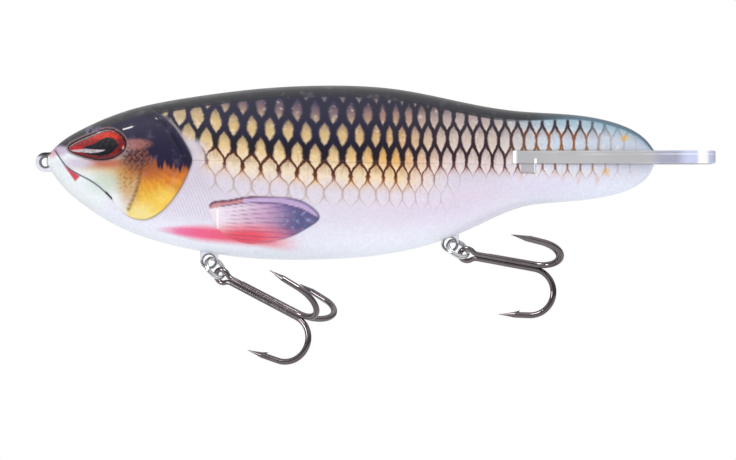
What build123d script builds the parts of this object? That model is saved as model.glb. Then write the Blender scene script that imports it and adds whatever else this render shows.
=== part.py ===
from build123d import *
from functools import lru_cache
import math
import os

# Hard-bodied swimbait, in millimetres. The origin is the centre of the line-tie bore in the nose lug.
# +X runs from the nose to the tail, +Z to the back of the fish, and -Y is the fish's left side.

# Body, as a spline through the back, the belly and the half-thickness, each against X.
BACK_LINE = [
    (1.2, 2.6), (4, 5.3), (10.7, 9.4), (20.6, 13.6), (40.6, 18.0), (60, 20.4), (78, 21.2), (97, 20.2),
    (117, 16.3), (131, 14.1), (146, 13.1), (157, 11.1), (163.6, 8.3), (167, 5.4), (168.4, 3.4),
]
BELLY_LINE = [
    (1.2, -1.8), (4, -5.8), (10.7, -11.9), (20.6, -18.0), (37.3, -23.5), (57.2, -26.6), (73.8, -27.0),
    (90.4, -26.0), (105, -23.2), (120.4, -17.2), (132, -12.4), (142.5, -11.1), (154.4, -9.7),
    (163.6, -6.6), (167, -3.7), (168.4, -1.1),
]
SIDE_LINE = [
    (1.2, 2.0), (4, 3.5), (10.7, 6.1), (20.6, 8.4), (37.3, 10.4), (60, 11.0), (80, 10.8), (100, 9.7),
    (120, 8.0), (140, 6.2), (156, 4.6), (163.6, 3.4), (168.4, 1.8),
]
STATIONS = [1.2, 3, 6.5, 12, 20, 32, 48, 64, 80, 96, 110, 122, 132, 142, 152, 160, 165, 168.4]
SECTION_POWER = 2.2         # superellipse power: a little flatter on the sides than an ellipse
WALL = 1.8                  # moulded wall
CAVITY_START = 10
CAVITY_END = 157

# Parting curve between the two shells: mouth, gill cover edge, then the straight side seam.
MOUTH = [(2.5, 3.3), (3.7, 1.6), (5.4, -0.8), (9.7, -3.7), (14.4, -6.4), (18.5, -10.4)]
GILL_EDGE = [
    (18.5, -10.4), (23.2, -15.0), (28.2, -15.9), (31.8, -14.2), (36.7, -8.9), (39.8, -3.2), (40.8, 0.3),
]
SEAM_REAR = (129.2, -0.8)

# Tail lip, a clear plate in a slot.
LIP_FRONT = 129.2
LIP_REAR = 185.2
LIP_TOP = 3.1
LIP_BOTTOM = -0.5
LIP_HALF_FRONT = 7.5
LIP_HALF_REAR = 11.0
LIP_WIDENS = 150            # parallel-sided up to here
LIP_CORNER = 6.0
TAB_FRONT = 131.6
TAB_REAR = 135.3
TAB_BOTTOM = -3.0

# Nose lug with the line-tie bush.
NOSE_LUG_R = 2.7
NOSE_LUG_T = 3.0
NECK_END = 5                # the lug's neck runs back to here, inside the jaw
NECK_RISE = 2.2             # half-height of the neck
LINE_TIE_R = 1.2
LINE_TIE_BUSH_R = 1.65

# Hook hangers, split rings and treble hooks.
HANGER_R = 2.45
HANGER_T = 1.7
HANGER_ROOT = 3.4           # hole centre to the lug's root, inside the belly wall
HANGER_HOLE_R = 1.65
HANGER_BUSH_R = 1.95
FRONT_HANGER = (45.3, -27.3)
REAR_HANGER = (112.0, -22.6)
RING_WIRE_R = 0.35
RING_MEAN_R = 3.2
RING_PITCH = 0.75
RING_TURNS = 1.9
RING_START = 30             # where the coil's first end lies, degrees round from the pull direction
RING_ROLL = 36              # turn of the ring's plane about the line from hanger to hook eye, degrees
RING_IN_HANGER = 0.5        # the wire crosses the hanger hole this far above the hole's centre
RING_IN_EYE = 0.3           # and the hook's eye this far below the eye's centre
HOOK_WIRE_R = 0.7
EYE_MEAN_R = 1.95
EYE_FLARE_R = 2.5
HANGER_TO_EYE = 2 * RING_MEAN_R - RING_IN_HANGER - RING_IN_EYE
BEND_R = 6.5
HOOK_FLARE = 8              # opening angle of the point arm, degrees
TAPER = 4.5
POINT_END_R = 0.06
BARB_LENGTH = 1.8
BARB_ROOT_R = 0.42
BARB_END_R = 0.05
BARB_START = 1.0            # from the start of the taper
BARB_LEAN = 157             # degrees from the point's direction, back along the shank side
BARB_OFFSET = 0.1
THIRD_START = 6.0           # the third hook's cut end, from the eye's centre
THIRD_ROUND = 120           # third hook, round the shank from straight down towards the right side
FRONT_PULL = -50            # direction from hanger to eye, degrees above +X
REAR_PULL = -33
FRONT_SHANK = -27           # direction of the hook's shank in the XZ plane
REAR_SHANK = -10
FRONT_YAW = 20              # the front hook's bends lie towards the fish's left side
FRONT_BEND = 25.0           # eye centre to bend centre
REAR_BEND = 19.0
FRONT_ARM = 9.5             # bend to point
REAR_ARM = 8.5

# Eyes.
EYE_POINTS = [(6.7, 3.5), (13.0, 7.4), (19.5, 8.5), (22.6, 4.6), (20.0, 1.6), (15.5, 0.6), (10.5, 1.6)]
FOIL_DEPTH = 1.1            # under the skin of the head
FOIL_T = 0.25
LENS_PROUD = 0.5
EYE_ZONE = (4, 30)          # stretch of the head that holds the eyes
LENS_ZONE = (3, 30)
EYE_REACH = 20              # past the head's half-thickness

# Ballast weights: centre X, centre Z, radius, length.
BALLAST = {
    "front_ballast": (54, -13.5, 6.0, 24),
    "middle_ballast": (82, -14.0, 6.0, 24),
    "rear_ballast": (106, -10.5, 4.5, 12),
}
CRADLE_T = 1.6
CRADLE_OVER = 1.5

# Alignment pins along the seam: X positions, one each side.
PIN_X = [52, 78, 104, 121]
PIN_R = 0.9
PIN_HOLE_R = 1.0
PIN_RISE = 2.5
PIN_BOSS_R = 2.0
PIN_BOSS_H = 6.0
PIN_BOSS_IN_WALL = 0.9      # how far the boss overlaps the wall
PIN_ROOT = 2.0              # the pin's length inside its boss
PIN_HOLE_SPARE = 0.5        # free depth under each pin

SKIN_INSET = 0.3            # parts added inside the body stay this far under its skin
SIDE_REACH = 40             # past the body on every side
FAR_AHEAD = -20
FAR_BELOW = -70
FAR_BEHIND = LIP_REAR + 20
SLOT_END = LIP_REAR + 5
CUT_OVER = 2                # cutting cylinders are this much longer than what they cut


def outline(points):
    """Spline through points of the XZ plane."""
    return Plane.XZ * Spline(*points)


CURVES = {"back": outline(BACK_LINE), "belly": outline(BELLY_LINE), "side": outline(SIDE_LINE)}


@lru_cache(maxsize=None)
def height_at(name, x):
    """Height of an outline at station x, by bisection along the curve."""
    curve = CURVES[name]
    low, high = 0.0, 1.0
    for _ in range(40):
        middle = (low + high) / 2
        if curve.position_at(middle).X < x:
            low = middle
        else:
            high = middle
    return curve.position_at(low).Z


def half_section(x, inset):
    """Right half of one cross-section of the body, moved in by inset and closed on the middle plane."""
    top = height_at("back", x) - inset
    bottom = height_at("belly", x) + inset
    half = height_at("side", x) - inset
    centre = (top + bottom) / 2
    rise = (top - bottom) / 2
    inner = []
    for step in range(1, 8):
        angle = math.radians(90 - 22.5 * step)
        y = half * math.cos(angle) ** (2 / SECTION_POWER)
        z = rise * math.copysign(abs(math.sin(angle)) ** (2 / SECTION_POWER), math.sin(angle))
        inner.append((x, y, centre + z))
    side = Spline((x, 0, top), *inner, (x, 0, bottom), tangents=[(0, 1, 0), (0, -1, 0)])
    return Wire([side, Line((x, 0, bottom), (x, 0, top))])


def body_solid(inset, start=STATIONS[0], end=STATIONS[-1]):
    stations = [start] + [x for x in STATIONS if start + 1 < x < end - 1] + [end]
    right = Solid.make_loft([half_section(x, inset) for x in stations])
    return right + mirror(right, Plane.XZ)


def block(x0, x1, y0, y1, z0, z1):
    return Pos((x0 + x1) / 2, (y0 + y1) / 2, (z0 + z1) / 2) * Box(x1 - x0, y1 - y0, z1 - z0)


def across(radius, length, x, z):
    """Cylinder along Y."""
    return Pos(x, 0, z) * Rot(90, 0, 0) * Cylinder(radius, length)


def lower_region():
    """Everything below the parting curve."""
    mouth = Spline(*MOUTH)
    gill = Spline(*GILL_EDGE)
    middle = (LIP_TOP + LIP_BOTTOM) / 2
    seam = Polyline(GILL_EDGE[-1], SEAM_REAR, (LIP_FRONT, middle), (FAR_BEHIND, middle))
    rest = Polyline(
        (FAR_BEHIND, middle), (FAR_BEHIND, FAR_BELOW), (FAR_AHEAD, FAR_BELOW),
        (FAR_AHEAD, MOUTH[0][1]), MOUTH[0],
    )
    face = make_face([Plane.XZ * line for line in (mouth, gill, seam, rest)])
    return extrude(face, amount=SIDE_REACH, both=True)


def slot_space(margin):
    """The lip's slot with its tab notch, grown by margin."""
    plate = block(
        LIP_FRONT - margin, SLOT_END, -SIDE_REACH, SIDE_REACH, LIP_BOTTOM - margin, LIP_TOP + margin
    )
    notch = block(
        TAB_FRONT - margin, TAB_REAR + margin, -SIDE_REACH, SIDE_REACH, TAB_BOTTOM - margin, LIP_BOTTOM
    )
    return plate + notch


def eye_column(side):
    """The eye's outline carried outwards through one side of the head; side is -1 for the left."""
    teardrop = make_face(Plane.XZ * Spline(*EYE_POINTS, periodic=True))
    return extrude(teardrop, amount=-side * EYE_REACH)


def cradle(x, z, radius, length, cavity):
    """Two saddle ribs that hold one ballast weight in the lower shell."""
    ribs = None
    for centre in (x - length / 4, x + length / 4):
        front, back = centre - CRADLE_T / 2, centre + CRADLE_T / 2
        rib = block(front, back, -SIDE_REACH, SIDE_REACH, -SIDE_REACH, z + CRADLE_OVER) & cavity
        ribs = rib if ribs is None else ribs + rib
    return ribs - ballast_weight(x, z, radius, length + CUT_OVER)


def ballast_weight(x, z, radius, length):
    return Pos(x, 0, z) * Rot(0, 90, 0) * Cylinder(radius, length)


def seam_height(x):
    """Height of the straight part of the side seam."""
    x0, z0 = GILL_EDGE[-1]
    x1, z1 = SEAM_REAR
    return z0 + (z1 - z0) * (x - x0) / (x1 - x0)


def pin_places():
    """Centres of the alignment pins, on the seam and against the walls."""
    places = []
    for x in PIN_X:
        reach = height_at("side", x) - WALL - PIN_BOSS_R + PIN_BOSS_IN_WALL
        for y in (-reach, reach):
            places.append((x, y, seam_height(x)))
    return places


def hanger_lug(x, z):
    """Flat lug with a round end, rooted in the belly wall."""
    lug = across(HANGER_R, HANGER_T, x, z)
    lug += block(x - HANGER_R, x + HANGER_R, -HANGER_T / 2, HANGER_T / 2, z, z + HANGER_ROOT)
    return lug - across(HANGER_BUSH_R, HANGER_T + CUT_OVER, x, z)


def make_shells():
    """Upper and lower shell: hollow, with the slot, eye sockets, lugs, pins and cradles."""
    outer = body_solid(0)
    outer += across(NOSE_LUG_R, NOSE_LUG_T, 0, 0)
    outer += block(0, NECK_END, -NOSE_LUG_T / 2, NOSE_LUG_T / 2, -NECK_RISE, NECK_RISE)
    outer += hanger_lug(*FRONT_HANGER)
    outer += hanger_lug(*REAR_HANGER)
    outer -= across(LINE_TIE_BUSH_R, NOSE_LUG_T + CUT_OVER, 0, 0)

    cavity = body_solid(WALL, CAVITY_START, CAVITY_END) - slot_space(WALL)
    hollow = outer - cavity - slot_space(0)
    core = body_solid(FOIL_DEPTH + FOIL_T, *EYE_ZONE)
    for side in (-1, 1):
        hollow -= eye_column(side) - core

    region = lower_region()
    upper = hollow - region
    lower = hollow & region
    for x, y, z in pin_places():
        foot = Pos(x, y, z - PIN_BOSS_H / 2) * Cylinder(PIN_BOSS_R, PIN_BOSS_H) & INSIDE_SKIN
        lower += foot & region
        lower += Pos(x, y, z + (PIN_RISE - PIN_ROOT) / 2) * Cylinder(PIN_R, PIN_RISE + PIN_ROOT)
        boss = Pos(x, y, z + PIN_BOSS_H / 2) * Cylinder(PIN_BOSS_R, PIN_BOSS_H) & INSIDE_SKIN
        upper += boss - region
        upper -= Pos(x, y, z + PIN_RISE / 2) * Cylinder(PIN_HOLE_R, PIN_RISE + 2 * PIN_HOLE_SPARE)
    for x, z, radius, length in BALLAST.values():
        lower += cradle(x, z, radius, length, cavity)
    for x, z in (FRONT_HANGER, REAR_HANGER):
        lower -= across(HANGER_BUSH_R, HANGER_T, x, z)
    return upper, lower


def make_lip():
    """Clear plate, widening to its free end, with the tab that locks it in the slot."""
    half_front, half_rear = LIP_HALF_FRONT, LIP_HALF_REAR
    side = Spline(
        (LIP_FRONT, half_front, 0), (LIP_WIDENS, half_front, 0), (LIP_REAR - LIP_CORNER, half_rear, 0),
        tangents=[(1, 0, 0), (1, 0, 0)],
    )
    corner = RadiusArc(
        (LIP_REAR - LIP_CORNER, half_rear, 0), (LIP_REAR, half_rear - LIP_CORNER, 0), LIP_CORNER
    )
    half = [side, corner]
    other = [mirror(part, Plane.XZ) for part in half]
    ends = [
        Line((LIP_REAR, half_rear - LIP_CORNER, 0), (LIP_REAR, LIP_CORNER - half_rear, 0)),
        Line((LIP_FRONT, half_front, 0), (LIP_FRONT, -half_front, 0)),
    ]
    face = make_face(half + other + ends)
    plate = Pos(0, 0, LIP_BOTTOM) * extrude(face, amount=LIP_TOP - LIP_BOTTOM)
    tab = block(TAB_FRONT, TAB_REAR, -half_front, half_front, TAB_BOTTOM, LIP_BOTTOM)
    return plate + (tab & INSIDE_SKIN)


def make_bush(outer_r, inner_r, length, x, z):
    return across(outer_r, length, x, z) - across(inner_r, length + CUT_OVER, x, z)


def make_eye(side):
    """Foil and lens of one eye; the lens stands a little proud of the head."""
    inner = body_solid(FOIL_DEPTH + FOIL_T, *EYE_ZONE)
    middle = body_solid(FOIL_DEPTH, *EYE_ZONE)
    proud = body_solid(-LENS_PROUD, *LENS_ZONE)
    column = eye_column(side)
    foil = (column & middle) - inner
    lens = (column & proud) - middle
    return foil, lens


def pull_vector(angle):
    return Vector(math.cos(math.radians(angle)), 0, math.sin(math.radians(angle)))


def eye_centre(hanger, pull):
    x, z = hanger
    return Vector(x, 0, z) + pull_vector(pull) * HANGER_TO_EYE


def ring_plane(hanger, pull):
    """Plane of the ring: its x axis is the pull direction, its z axis the ring's own axis."""
    direction = pull_vector(pull)
    x, z = hanger
    centre = Vector(x, 0, z) + direction * (RING_MEAN_R - RING_IN_HANGER)
    upward = Vector(-direction.Z, 0, direction.X)
    roll = math.radians(RING_ROLL)
    normal = Vector(0, -1, 0) * math.sin(roll) + upward * math.cos(roll)
    return Plane(origin=centre, x_dir=direction, z_dir=normal)


def make_ring(hanger, pull):
    """Split ring: nearly two turns of round wire, wound as one helix."""
    height = RING_PITCH * RING_TURNS
    path = Helix(RING_PITCH, height, RING_MEAN_R)
    start = Plane(origin=path @ 0, z_dir=path % 0)
    coil = sweep(start * Circle(RING_WIRE_R), path=path, is_frenet=True)
    return ring_plane(hanger, pull) * Pos(0, 0, -height / 2) * Rot(0, 0, RING_START) * coil


def hook_edges(frame, start_x, bend_x, arm):
    """One hook's centreline, out along the frame's x axis and bending towards its y axis."""
    flare = math.radians(HOOK_FLARE)
    bend_end = Vector(bend_x + BEND_R * math.sin(flare), BEND_R + BEND_R * math.cos(flare))
    bend_middle = Vector(bend_x + BEND_R * math.cos(flare / 2), BEND_R - BEND_R * math.sin(flare / 2))
    arm_direction = Vector(-math.cos(flare), math.sin(flare))
    arm_end = bend_end + arm_direction * (arm - TAPER)
    edges = [
        Line((start_x, 0), (bend_x, 0)),
        ThreePointArc((bend_x, 0), bend_middle, bend_end),
        Line(bend_end, arm_end),
    ]
    tip_plane = frame * Plane(origin=arm_end, z_dir=arm_direction, x_dir=(0, 0, 1))
    return [frame * edge for edge in edges], tip_plane


def hook_point(tip_plane):
    """Tapered point with its barb on the side of the shank."""
    point = Pos(0, 0, TAPER / 2) * Cone(HOOK_WIRE_R, POINT_END_R, TAPER)
    barb = Pos(0, 0, BARB_LENGTH / 2) * Cone(BARB_ROOT_R, BARB_END_R, BARB_LENGTH)
    return tip_plane * (point + Pos(-BARB_OFFSET, 0, BARB_START) * Rot(0, BARB_LEAN, 0) * barb)


def eye_edges(frame):
    """Eye loop and the two curves that lead it into the shank pair."""
    lead_y = HOOK_WIRE_R + EYE_FLARE_R
    reach = EYE_MEAN_R + EYE_FLARE_R
    lead_x = math.sqrt(reach**2 - lead_y**2)
    centre = Vector(lead_x, lead_y)
    touch = centre * (EYE_MEAN_R / reach)
    inward = (Vector(0, -1) - centre.normalized()).normalized()
    bow = centre + inward * EYE_FLARE_R
    edges = [
        ThreePointArc((lead_x, HOOK_WIRE_R), bow, touch),
        ThreePointArc(touch, (-EYE_MEAN_R, 0), (touch.X, -touch.Y)),
        ThreePointArc((touch.X, -touch.Y), (bow.X, -bow.Y), (lead_x, -HOOK_WIRE_R)),
    ]
    return [frame * edge for edge in edges], lead_x


def wire_solid(edges):
    """Round wire swept along edges that join smoothly."""
    path = Wire(edges)
    start = Plane(origin=path @ 0, z_dir=path % 0)
    return sweep(start * Circle(HOOK_WIRE_R), path=path, transition=Transition.RIGHT)


def make_treble(hanger, pull, shank, yaw, bend_x, arm):
    """Treble hook: a folded wire with the eye and two hooks, and a third hook brazed on."""
    eye = eye_centre(hanger, pull)
    level, turn = math.radians(shank), math.radians(yaw)
    axis = Vector(
        math.cos(level) * math.cos(turn), -math.sin(turn), math.sin(level) * math.cos(turn)
    )
    down = Vector(math.sin(level), 0, -math.cos(level))
    right = axis.cross(down)
    if right.Y < 0:
        right = right * -1

    def radial(angle):
        return down * math.cos(math.radians(angle)) + right * math.sin(math.radians(angle))

    third = radial(THIRD_ROUND)
    first = radial(THIRD_ROUND + 120)
    second = radial(THIRD_ROUND - 120)
    sideways = (first - second).normalized()
    loop_frame = Plane(origin=eye, x_dir=axis, z_dir=axis.cross(sideways))
    loop, lead_x = eye_edges(loop_frame)

    first_frame = Plane(origin=eye + sideways * HOOK_WIRE_R, x_dir=axis, z_dir=axis.cross(first))
    second_frame = Plane(origin=eye - sideways * HOOK_WIRE_R, x_dir=axis, z_dir=axis.cross(second))
    first_edges, first_tip = hook_edges(first_frame, lead_x, bend_x, arm)
    second_edges, second_tip = hook_edges(second_frame, lead_x, bend_x, arm)
    pair = wire_solid(first_edges + loop + second_edges)
    pair += hook_point(first_tip)
    pair += hook_point(second_tip)

    third_origin = eye + third * (HOOK_WIRE_R * math.sqrt(3))
    third_frame = Plane(origin=third_origin, x_dir=axis, z_dir=axis.cross(third))
    third_edges, third_tip = hook_edges(third_frame, THIRD_START, bend_x, arm)
    single = wire_solid(third_edges) + hook_point(third_tip)
    return pair, single


INSIDE_SKIN = body_solid(SKIN_INSET)


def main():
    upper_shell, lower_shell = make_shells()
    parts = {"upper_shell": upper_shell, "lower_shell": lower_shell, "tail_lip": make_lip()}
    for name, side in (("left", -1), ("right", 1)):
        parts[f"{name}_eye_foil"], parts[f"{name}_eye_lens"] = make_eye(side)
    parts["line_tie_bush"] = make_bush(LINE_TIE_BUSH_R, LINE_TIE_R, NOSE_LUG_T, 0, 0)
    for node, (x, z, radius, length) in BALLAST.items():
        parts[node] = ballast_weight(x, z, radius, length)
    hangers = (
        ("front", FRONT_HANGER, FRONT_PULL, FRONT_SHANK, FRONT_YAW, FRONT_BEND, FRONT_ARM),
        ("rear", REAR_HANGER, REAR_PULL, REAR_SHANK, 0, REAR_BEND, REAR_ARM),
    )
    for name, hanger, pull, shank, yaw, bend_x, arm in hangers:
        parts[f"{name}_hanger_bush"] = make_bush(HANGER_BUSH_R, HANGER_HOLE_R, HANGER_T, *hanger)
        parts[f"{name}_split_ring"] = make_ring(hanger, pull)
        pair, single = make_treble(hanger, pull, shank, yaw, bend_x, arm)
        parts[f"{name}_treble_pair"] = pair
        parts[f"{name}_treble_third"] = single

    os.makedirs("parts", exist_ok=True)
    for node, shape in parts.items():
        export_step(shape, f"parts/{node}.step")


main()
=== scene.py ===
import math

import bpy
import numpy as np
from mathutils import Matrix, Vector


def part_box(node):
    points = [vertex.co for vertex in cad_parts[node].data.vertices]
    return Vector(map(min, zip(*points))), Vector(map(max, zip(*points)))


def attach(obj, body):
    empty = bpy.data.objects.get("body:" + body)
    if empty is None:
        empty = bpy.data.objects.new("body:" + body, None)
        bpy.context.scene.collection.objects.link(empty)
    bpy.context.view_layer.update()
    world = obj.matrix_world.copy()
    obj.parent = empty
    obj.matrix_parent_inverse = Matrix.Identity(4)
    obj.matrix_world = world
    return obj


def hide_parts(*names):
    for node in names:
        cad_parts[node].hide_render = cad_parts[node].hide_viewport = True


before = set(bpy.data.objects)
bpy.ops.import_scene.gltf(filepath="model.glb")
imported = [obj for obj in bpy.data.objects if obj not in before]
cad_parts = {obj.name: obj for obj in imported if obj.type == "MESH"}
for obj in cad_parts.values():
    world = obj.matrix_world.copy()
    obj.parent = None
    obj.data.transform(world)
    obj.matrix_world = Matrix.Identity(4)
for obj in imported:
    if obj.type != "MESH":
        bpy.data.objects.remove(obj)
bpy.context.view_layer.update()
MM = 0.001
# How much the hooks' wire grows all round, in millimetres.
STOUT = 0.14
# Each treble's shank: its slope, and its turn towards the fish's left side, in degrees.
SHANKS = {"front_treble": (-27, 20), "rear_treble": (-10, 0)}

# Body outlines in millimetres, as on the CAD body: back, belly and half-thickness against X.
BACK_LINE = [
    (1.2, 2.6), (4, 5.3), (10.7, 9.4), (20.6, 13.6), (40.6, 18.0), (60, 20.4), (78, 21.2), (97, 20.2),
    (117, 16.3), (131, 14.1), (146, 13.1), (157, 11.1), (163.6, 8.3), (167, 5.4), (168.4, 3.4),
]
BELLY_LINE = [
    (1.2, -1.8), (4, -5.8), (10.7, -11.9), (20.6, -18.0), (37.3, -23.5), (57.2, -26.6), (73.8, -27.0),
    (90.4, -26.0), (105, -23.2), (120.4, -17.2), (132, -12.4), (142.5, -11.1), (154.4, -9.7),
    (163.6, -6.6), (167, -3.7), (168.4, -1.1),
]
SIDE_LINE = [
    (1.2, 2.0), (4, 3.5), (10.7, 6.1), (20.6, 8.4), (37.3, 10.4), (60, 11.0), (80, 10.8), (100, 9.7),
    (120, 8.0), (140, 6.2), (156, 4.6), (163.6, 3.4), (168.4, 1.8),
]
POWER = 2.2
NOSE_X, TAIL_X = BACK_LINE[0][0], BACK_LINE[-1][0]
END_ROUND = 0.9
FINE_STEP, COARSE_STEP = 0.22, 0.45

# Parting curve, slot and features on the side of the fish.
MOUTH = [(2.5, 3.3), (3.7, 1.6), (5.4, -0.8), (9.7, -3.7), (14.4, -6.4), (18.5, -10.4)]
GILL_LOWER = [
    (18.5, -10.4), (23.2, -15.0), (28.2, -15.9), (31.8, -14.2), (36.7, -8.9), (39.8, -3.2), (40.8, 0.3),
]
GILL_EDGE = [(29.5, 14.5), (33.9, 11.3), (36.7, 8.4), (39.2, 4.6), (40.8, 0.7)] + GILL_LOWER[::-1][1:]
GILL_RIDGE = [(28.5, 12.6), (32.1, 11.0), (35.3, 7.0), (37.8, 2.8), (39.6, -1.4)]
PREOPERCLE = [(26.8, -1.8), (26.2, -5.5), (24.8, -9.5), (23.3, -13.1)]
SLOT_X, SLOT_TOP, SLOT_BOTTOM, SEAM_REAR_Z = 129.2, 3.1, -0.5, -0.8
EYE = [(6.7, 3.5), (13.0, 7.4), (19.5, 8.5), (22.6, 4.6), (20.0, 1.6), (15.5, 0.6), (10.5, 1.6)]
EYE_CENTRE = (17.0, 4.4)
FIN = [
    (46.1, -11.7), (50.5, -10.8), (55, -10.0), (60.9, -9.7), (66.3, -9.9), (71.1, -11), (74.6, -13.3),
    (75.8, -15), (72.7, -18), (68.8, -20.2), (65, -21.5), (61.5, -22.3), (56.8, -22.5), (53.6, -21.9),
    (49.7, -19.9), (47.6, -17.8),
]
FIN_RAY_ROOT = (12.0, -17.0)
FIN_TOP_RAY = [
    (46, -12.9), (50, -12.1), (55, -11.4), (58, -11.2), (61, -11.2), (66, -11.6), (71, -12.9),
    (76, -15.6),
]
SCALE_COLUMNS = [(-18, -12), (42.4, 0), (82.3, 8), (91.6, 10), (95.2, 11), (127.1, 20), (170, 32.4)]
SCALE_ROW = [
    (30, 15.4), (42.4, 12.7), (52, 10.5), (62, 9.2), (75, 7.8), (90, 7.3), (105, 6.5), (125, 6.1),
    (170, 4.6),
]
PUPIL = [
    (10.6, 3.9), (13.3, 5.1), (15.5, 6.4), (17.8, 7.0), (19.6, 6.1), (20.4, 4.7), (19.6, 3.25),
    (17.8, 1.95), (15.2, 1.6), (12.6, 1.95), (10.4, 2.7),
]
GLINT = [
    (7.2, 3.1), (9.5, 3.5), (11.5, 3.6), (14, 3.45), (16.7, 3.2), (15.2, 2.7), (13.4, 2.45),
    (10.8, 2.55), (8.6, 2.8),
]
RED_GILL = [(5.2, -1.0), (7.6, -2.6), (9.8, -4.0), (8.5, -5.4), (6.9, -3.2)]


# Curves and shape functions

def spline(points, count=400):
    """Smooth cubic through points, sampled evenly by chord length: natural at its ends."""
    p = np.array(points, float)
    t = np.concatenate([[0], np.cumsum(np.linalg.norm(np.diff(p, axis=0), axis=1))])
    h = np.diff(t)
    n = len(p)
    a = np.eye(n)
    b = np.zeros((n, p.shape[1]))
    for i in range(1, n - 1):
        a[i, i - 1:i + 2] = h[i - 1], 2 * (h[i - 1] + h[i]), h[i]
        b[i] = 6 * ((p[i + 1] - p[i]) / h[i] - (p[i] - p[i - 1]) / h[i - 1])
    m = np.linalg.solve(a, b)
    s = np.linspace(0, t[-1], count)
    i = np.clip(np.searchsorted(t, s, side="right") - 1, 0, n - 2)
    hi, d, e = h[i][:, None], (s - t[i])[:, None], (t[i + 1] - s)[:, None]
    return (
        m[i] * e**3 / (6 * hi) + m[i + 1] * d**3 / (6 * hi)
        + (p[i] / hi - m[i] * hi / 6) * e + (p[i + 1] / hi - m[i + 1] * hi / 6) * d
    )


def closed(points, count=400):
    """Smooth closed curve through points."""
    looped = points[-3:] + points + points[:3]
    dense = spline(looped, count * 2)
    start = np.argmin(np.linalg.norm(dense[:count] - np.array(points[0]), axis=1))
    end = count + np.argmin(np.linalg.norm(dense[count:] - np.array(points[0]), axis=1))
    return dense[start:end]


BACK, BELLY, SIDE = (spline(line, 1200) for line in (BACK_LINE, BELLY_LINE, SIDE_LINE))


def top_at(x):
    return np.interp(x, BACK[:, 0], BACK[:, 1])


def bottom_at(x):
    return np.interp(x, BELLY[:, 0], BELLY[:, 1])


def half_at(x):
    return np.interp(x, SIDE[:, 0], SIDE[:, 1])


def side_surface(x, z):
    """Half-thickness of the body at a point of its side view."""
    centre = (top_at(x) + bottom_at(x)) / 2
    rise = (top_at(x) - bottom_at(x)) / 2
    level = np.clip(np.abs((z - centre) / rise), 0, 0.999)
    return half_at(x) * (1 - level**POWER) ** (1 / POWER)


def smooth(low, high, value):
    t = np.clip((value - low) / (high - low), 0, 1)
    return t * t * (3 - 2 * t)


def distance(x, z, curve):
    """Distance in the side view from each point to a polyline."""
    best = np.full(x.shape, 1e9)
    for (ax, az), (bx, bz) in zip(curve[:-1], curve[1:]):
        ux, uz = bx - ax, bz - az
        t = np.clip(((x - ax) * ux + (z - az) * uz) / (ux * ux + uz * uz + 1e-12), 0, 1)
        best = np.minimum(best, (x - ax - t * ux) ** 2 + (z - az - t * uz) ** 2)
    return np.sqrt(best)


def inside(x, z, polygon):
    result = np.zeros(x.shape, bool)
    loop = list(polygon) + [polygon[0]]
    for (ax, az), (bx, bz) in zip(loop[:-1], loop[1:]):
        crosses = (az > z) != (bz > z)
        result ^= crosses & (x < (bx - ax) * (z - az) / (bz - az + 1e-12) + ax)
    return result


def signed(x, z, polygon):
    """Distance to a polygon's edge, positive inside."""
    loop = np.vstack([polygon, polygon[:1]])
    return distance(x, z, loop) * np.where(inside(x, z, polygon), 1, -1)


def blob(x, z, cx, cz, rx, rz, soft=0.5):
    radius = np.hypot((x - cx) / rx, (z - cz) / rz)
    return 1 - smooth(1 - soft, 1 + soft, radius)


def ripple(x, z, scale, seed=0.0):
    """Cheap smooth variation between -1 and 1."""
    a = np.sin(x * scale + 1.7 * np.sin(z * scale * 0.8 + seed) + seed)
    b = np.sin(z * scale * 1.3 - 1.3 * np.sin(x * scale * 0.7 + 2 * seed) + 3 * seed)
    return 0.5 * (a + b)


CURVES = {
    "mouth": spline(MOUTH, 50), "edge": spline(GILL_EDGE, 90), "ridge": spline(GILL_RIDGE, 40),
    "preopercle": spline(PREOPERCLE, 30), "fin": closed(FIN, 90), "eye": closed(EYE, 90),
}
GILL_PARTING = spline(GILL_LOWER, 200)
MOUTH_PARTING = spline(MOUTH, 200)
HEAD = np.vstack([CURVES["edge"], [(12, -15.5), (-5, -8), (-5, 20), (27, 20)]])


def parting(x, upper):
    """Height of the shells' parting curve at x."""
    z = np.interp(x, MOUTH_PARTING[:, 0], MOUTH_PARTING[:, 1])
    z = np.where(x > MOUTH[-1][0], np.interp(x, GILL_PARTING[:, 0], GILL_PARTING[:, 1]), z)
    start_x, start_z = GILL_LOWER[-1]
    seam = start_z + (SEAM_REAR_Z - start_z) * (x - start_x) / (SLOT_X - start_x)
    z = np.where(x > start_x, seam, z)
    return np.where(x > SLOT_X, SLOT_TOP if upper else SLOT_BOTTOM, z)


# Paint

def rgb(r, g, b):
    c = np.array([r, g, b]) / 255
    return np.where(c <= 0.04045, c / 12.92, ((c + 0.055) / 1.055) ** 2.4)


def lay(base, color, amount):
    """Paints one colour, or a colour for each point, over the base where amount is above zero."""
    amount = np.clip(amount, 0, 1)[:, None]
    return base * (1 - amount) + np.asarray(color) * amount


def ramp(value, stops):
    """Colour by value, from stops of value, red, green and blue in rising order."""
    keys = [stop[0] for stop in stops]
    colors = np.array([rgb(*stop[1:]) for stop in stops])
    return np.stack([np.interp(value, keys, colors[:, i]) for i in range(3)], axis=1)


def level(x, z):
    """1 on the back, 0 at the side seam, -1 on the belly."""
    middle = 0.6
    return np.where(
        z > middle, (z - middle) / (top_at(x) - middle), (z - middle) / (middle - bottom_at(x))
    )


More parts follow.
